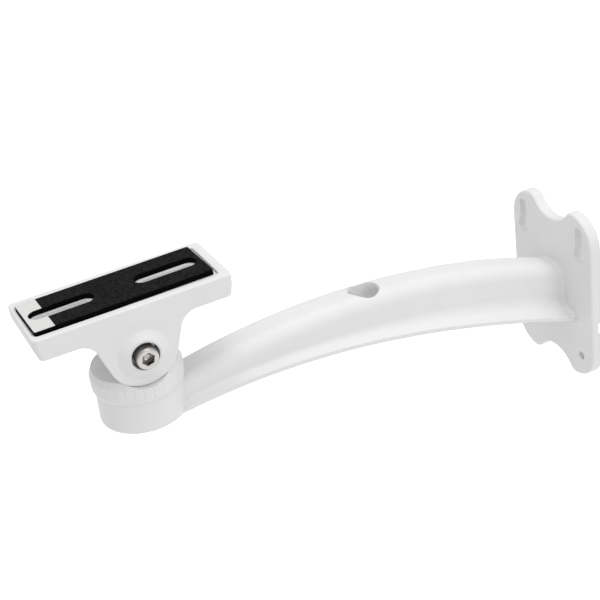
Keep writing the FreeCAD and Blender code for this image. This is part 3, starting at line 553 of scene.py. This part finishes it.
def stamp(name, outlines, bottom, top, rim):
    """A mesh in metres of flat outlines filled between two heights, with rounded rims."""
    curve = bpy.data.curves.new(name, "CURVE")
    curve.dimensions = "2D"
    curve.fill_mode = "BOTH"
    curve.extrude = (top - bottom) / 2 - rim
    curve.bevel_depth = rim
    curve.bevel_resolution = 2
    curve.offset = -rim
    for outline in outlines:
        line = curve.splines.new("POLY")
        line.points.add(len(outline) - 1)
        for point, (x, y) in zip(line.points, outline):
            point.co = (x, y, 0, 1)
        line.use_cyclic_u = True
    former = bpy.data.objects.new(name + "_former", curve)
    mesh = bpy.data.meshes.new_from_object(former)
    mesh.name = name + "_mesh"
    bpy.data.objects.remove(former)
    bpy.data.curves.remove(curve)
    mesh.transform(Matrix.Scale(MM, 4) @ Matrix.Translation((0, 0, (bottom + top) / 2)))
    return mesh


# %% Cut the pad with its two slots
pad_low, pad_high = (Vector(corner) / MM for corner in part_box("rubber_pad"))
film_low, film_high = (Vector(corner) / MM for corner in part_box("pad_liner"))
CORNER, PAD_RIM = 1.2, 0.35
SLOT_R, SLOT_X = 5.5, 0.1
SLOT_ENDS = ((-277.1, -250.6), (-337.9, -311.6))
wide, near_end, far_end = pad_high.x, pad_high.y, pad_low.y

pad_outline = (arc(wide - CORNER, near_end - CORNER, CORNER, 0, 90)
               + arc(CORNER - wide, near_end - CORNER, CORNER, 90, 180)
               + arc(CORNER - wide, far_end + CORNER, CORNER, 180, 270)
               + arc(wide - CORNER, far_end + CORNER, CORNER, 270, 360))
slot_outlines = [arc(SLOT_X, inner, SLOT_R, 0, 180) + arc(SLOT_X, outer, SLOT_R, 180, 360)
                 for outer, inner in SLOT_ENDS]
pad_mesh = stamp("moulded_pad", [pad_outline] + slot_outlines, pad_low.z, pad_high.z, PAD_RIM)
print("pad of", round(2 * wide, 1), "by", round(near_end - far_end, 1), "mm")

# %% [markdown]
# ## The pad's sunk end, and its place
# The film lies in the pad's outer end, which is lower by the film's thickness. A boolean cut could
# make that step, but two cuts across the mesh and a small move down keep the rounded rims. A hand
# laid the pad, so it is turned by about a degree and lies a quarter of a millimetre aside.

# %% Sink the pad's end by the film's thickness
SINK_STEP = 0.05
film_edge = film_high.y
half_height = (pad_low.z + pad_high.z) / 2

shape = bmesh.new()
shape.from_mesh(pad_mesh)
for cut_y in (film_edge, film_edge + SINK_STEP):
    bmesh.ops.bisect_plane(shape, geom=list(shape.verts) + list(shape.edges) + list(shape.faces),
                           plane_co=(0, cut_y * MM, 0), plane_no=(0, 1, 0))
for vertex in shape.verts:
    if vertex.co.y < (film_edge + SINK_STEP / 2) * MM and vertex.co.z > half_height * MM:
        vertex.co.z -= (film_high.z - film_low.z) * MM
shape.to_mesh(pad_mesh)
shape.free()
print("sunk by", round(film_high.z - film_low.z, 2), "mm beyond y =", round(film_edge, 1))

# %% Lay the pad in the tray, a little askew
SKEW_TURN, SKEW_ASIDE = math.radians(1.35), 0.25
STEEP = 0.5

pad_middle = Vector((0, (near_end + far_end) / 2, 0)) * MM
laid_middle = pad_middle + Vector((SKEW_ASIDE, 0, 0)) * MM
LAID_SKEW = (Matrix.Translation(laid_middle) @ Matrix.Rotation(SKEW_TURN, 4, "Z")
             @ Matrix.Translation(-pad_middle))
pad_mesh.transform(LAID_SKEW)
# Steep faces take the second, darker rubber: painted shade on the pad's sides.
for face in pad_mesh.polygons:
    face.material_index = int(abs(face.normal.z) < STEEP)
put_piece("moulded_pad", pad_mesh, [rubber, shaded_side_rubber], "head", "rubber_pad")

# %% [markdown]
# ## Backing film
# The film covers the pad's outer end, round the end of the slot, and is thin as paper. It could be
# painted on as a second colour, but a piece of its own has a real edge that catches the light. Its
# outline is the pad's, cut short and drawn in a little, and it is laid just as much askew.

# %% Lay the film on the pad's end
FILM_EASE, FILM_RIM = 0.12, 0.04
slot_end = SLOT_ENDS[1][0]
film_outline = ([(-wide + FILM_EASE, film_edge), (SLOT_X - SLOT_R - FILM_EASE, film_edge)]
                + arc(SLOT_X, slot_end, SLOT_R + FILM_EASE, 180, 360)
                + [(SLOT_X + SLOT_R + FILM_EASE, film_edge), (wide - FILM_EASE, film_edge)]
                + arc(wide - CORNER, far_end + CORNER, CORNER - FILM_EASE, 0, -90)
                + arc(CORNER - wide, far_end + CORNER, CORNER - FILM_EASE, -90, -180))
film_mesh = stamp("backing_film", [film_outline], film_low.z, film_high.z, FILM_RIM)
film_mesh.transform(LAID_SKEW)
put_piece("backing_film", film_mesh, [film], "head", "pad_liner")

# %% [markdown]
# ## Seamless floor
# The photograph was taken on seamless white. A white background alone would do for the eye, but
# nothing would light the bracket from underneath. A wide pale floor lies well below it and gives
# soft light back. It glows for the camera and in reflections only, so it shows white there and
# still takes the shadow.

# %% Lay the floor
FLOOR_DROP, FLOOR_REACH = 0.30, 6
floor_z = cad_low.z - FLOOR_DROP
floor_mesh = bpy.data.meshes.new("studio_floor")
shape = bmesh.new()
bmesh.ops.create_grid(shape, x_segments=8, y_segments=8, size=FLOOR_REACH)
bmesh.ops.translate(shape, verts=shape.verts, vec=(0, 0, floor_z))
shape.to_mesh(floor_mesh)
shape.free()
floor = bpy.data.objects.new("studio_floor", floor_mesh)
bpy.context.scene.collection.objects.link(floor)
floor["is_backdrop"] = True
print("floor at z =", round(floor_z, 3))

# %% Paint the floor
FLOOR_TONE, FLOOR_GLOW = 0.86, 0.5


def any_ray(tree, *kinds):
    """One where a light path is a ray of any of these kinds, and nought elsewhere."""
    path = add(tree, "LightPath")
    found = 0
    for kind in kinds:
        found = calculate(tree, "MAXIMUM", found, path.outputs[f"Is {kind} Ray"])
    return found


floor_paint = bpy.data.materials.new("seamless_white")
floor_paint.use_nodes = True
tree = floor_paint.node_tree
matt = tree.nodes["Principled BSDF"]
matt.inputs["Base Color"].default_value = (FLOOR_TONE, FLOOR_TONE, FLOOR_TONE, 1)
matt.inputs["Roughness"].default_value = 0.9
matt.inputs["Emission Color"].default_value = (1, 1, 1, 1)
glow = calculate(tree, "MULTIPLY", any_ray(tree, "Camera", "Glossy", "Transmission"), FLOOR_GLOW)
join(tree, glow, matt.inputs["Emission Strength"])
floor_mesh.materials.append(floor_paint)
print("floor paint", floor_paint.name, "glows by", FLOOR_GLOW)

# %% [markdown]
# ## The room's light
# A white room lights a thing from every side. A picture of a real studio could do the same, but it
# would bring its own colours, and white paint shows them all. A plain world is enough: it is grey
# as a light and pure white as a backdrop, and the Light Path node tells the two apart.

# %% Set the room's own light
ROOM_LIGHT = 0.72
world = bpy.data.worlds.new("studio")
bpy.context.scene.world = world
world.use_nodes = True
tree = world.node_tree
tree.nodes.clear()
room = add(tree, "Background", Color=(1, 1, 1, 1), Strength=ROOM_LIGHT)
backdrop = add(tree, "Background", Color=(1, 1, 1, 1), Strength=1.0)
choose = add(tree, "MixShader")
output = add(tree, "OutputWorld")
join(tree, any_ray(tree, "Camera", "Transmission"), choose.inputs["Fac"])
join(tree, room.outputs["Background"], choose.inputs[1])
join(tree, backdrop.outputs["Background"], choose.inputs[2])
join(tree, choose.outputs["Shader"], output.inputs["Surface"])
print("room light", ROOM_LIGHT)

# %% [markdown]
# ## Two lamps
# Even light alone would hide the arm's curve. A large soft lamp overhead brightens what looks up,
# and a weaker one at the side lifts the ears and the edge of the plate. Point lamps would draw
# hard shadows, so both are area lamps, about a metre wide.

# %% Hang the lamps
def softbox(name, spot, size, watts):
    """A square area lamp that points at the middle of the bracket."""
    data = bpy.data.lights.new(name, "AREA")
    data.shape = "SQUARE"
    data.size = size
    data.energy = watts
    lamp = bpy.data.objects.new(name, data)
    bpy.context.scene.collection.objects.link(lamp)
    lamp.location = spot
    lamp.rotation_mode = "QUATERNION"
    lamp.rotation_quaternion = (Vector(spot) - LOOK_AT).to_track_quat("Z", "Y")
    return lamp


lamps = [softbox("top_light", spot=(0.1, 0.1, 1.7), size=1.2, watts=10.5),
         softbox("side_light", spot=(1.6, 0.4, 0.9), size=1.0, watts=5)]
print("lamps", [(lamp.name, lamp.data.energy) for lamp in lamps])
